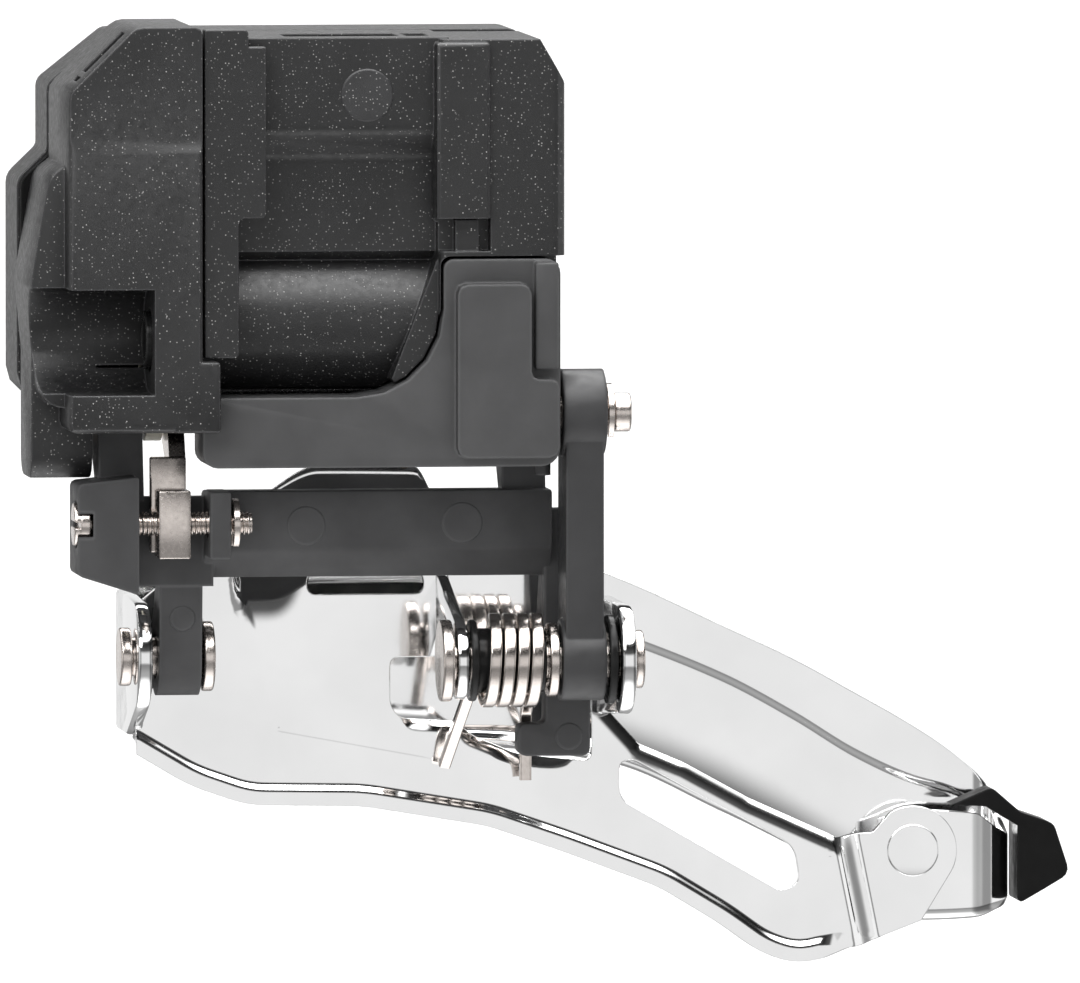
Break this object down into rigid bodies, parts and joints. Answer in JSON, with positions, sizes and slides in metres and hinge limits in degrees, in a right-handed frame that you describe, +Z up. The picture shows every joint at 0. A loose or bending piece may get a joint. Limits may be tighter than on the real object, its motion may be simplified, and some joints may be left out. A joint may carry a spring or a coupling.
{
  "type": "front derailleur",
  "caption": "Motor-driven bicycle front derailleur: geared motor case over a swing link and support arm that carry a plated chain cage.",
  "frame": {"origin": "centre of the flat pad on the base bracket that meets the frame's adapter", "axes": "+X to the rear wheel along the chain, +Y outboard to the crank, +Z up"},
  "size_m": [0.1099, 0.0356, 0.0987],
  "materials": {
    "case": "moulded charcoal plastic with fine pale flecks",
    "bracket": "smooth matte dark grey coating",
    "link": "smooth matte dark grey coating",
    "arm": "smooth dark grey moulding",
    "chrome": "bright plated sheet steel",
    "nickel": "warm nickel plating",
    "steel": "plain machined steel",
    "bronze": "sintered bronze",
    "rubber": "matt black",
    "black": "black, slightly glossy",
    "board": "green laminate",
    "gear": "natural engineering plastic"
  },
  "bodies": {
    "base": {"base_bracket": "bracket", "gearbox_cover": "case", "motor_case": "case", "outer_cover": "case", "case_rail": "case", "case_gasket": "rubber", "plug_socket": "black", "contact_pin_1": "bronze", "contact_pin_2": "bronze", "motor_can": "steel", "motor_end_cap": "black", "circuit_board": "board", "controller_chip": "black", "idler_pin": "steel", "shaft_bush_left": "bronze", "shaft_bush_right": "bronze", "upper_pin": "steel", "upper_e_ring": "nickel", "stop_peg": "rubber"},
    "link": {"swing_link": "link", "output_shaft": "steel", "drive_arm": "nickel", "sector_gear": "steel"},
    "cage": {"cage_inner_plate": "chrome", "cage_outer_plate": "chrome", "tail_rivet": "chrome", "front_rivet_1": "chrome", "front_rivet_2": "chrome", "tail_bumper": "black", "arm_low_pin": "nickel", "link_pin_front": "nickel", "link_pin_rear": "nickel", "spring_bush": "black", "spring_disc": "nickel", "arm_spacer": "black", "torsion_spring": "nickel"},
    "arm": {"support_arm": "arm"},
    "screw": {"adjusting_screw": "nickel", "screw_e_ring": "nickel"},
    "nut": {"adjusting_nut": "nickel"},
    "idler": {"reduction_gear": "gear"},
    "rotor": {"motor_pinion": "steel"}
  },
  "joints": [
    {"name": "link_swing", "type": "hinge", "parent": "base", "child": "link", "pos_m": [0, 0.0155, -0.0045], "axis": [1, 0, 0], "range_deg": [0, 28]},
    {"name": "cage_pivot", "type": "hinge", "parent": "link", "child": "cage", "pos_m": [0, 0.0155, -0.0299], "axis": [1, 0, 0], "range_deg": [-28.05, 0.05], "deforming": ["torsion_spring"]},
    {"name": "arm_swing", "type": "hinge", "parent": "base", "child": "arm", "pos_m": [0.0077, 0.0055, -0.0045], "axis": [1, 0, 0], "range_deg": [-0.05, 28.05]},
    {"name": "reduction_gear_spin", "type": "hinge", "parent": "base", "child": "idler", "pos_m": [-0.032, 0.01909, 0.00375], "axis": [1, 0, 0], "range_deg": [-98.2, 0.2]},
    {"name": "motor_pinion_spin", "type": "hinge", "parent": "base", "child": "rotor", "pos_m": [-0.032, 0.0122, 0.005], "axis": [1, 0, 0], "range_deg": [-0.5, 245.5]},
    {"name": "screw_turn", "type": "hinge", "parent": "link", "child": "screw", "pos_m": [-0.042, 0.007, -0.0157], "axis": [1, 0, 0], "range_deg": [-722, 722]},
    {"name": "nut_slide", "type": "slide", "parent": "link", "child": "nut", "axis": [1, 0, 0], "range_m": [-0.0009, 0.0009]}
  ],
  "couplings": [
    {"joint": "cage_pivot", "follows": "link_swing", "ratio": -1},
    {"joint": "arm_swing", "follows": "link_swing", "ratio": 1},
    {"joint": "reduction_gear_spin", "follows": "link_swing", "ratio": -3.5},
    {"joint": "motor_pinion_spin", "follows": "link_swing", "ratio": 8.75},
    {"joint": "screw_turn", "follows": "nut_slide", "rad_per_m": -13963}
  ]
}
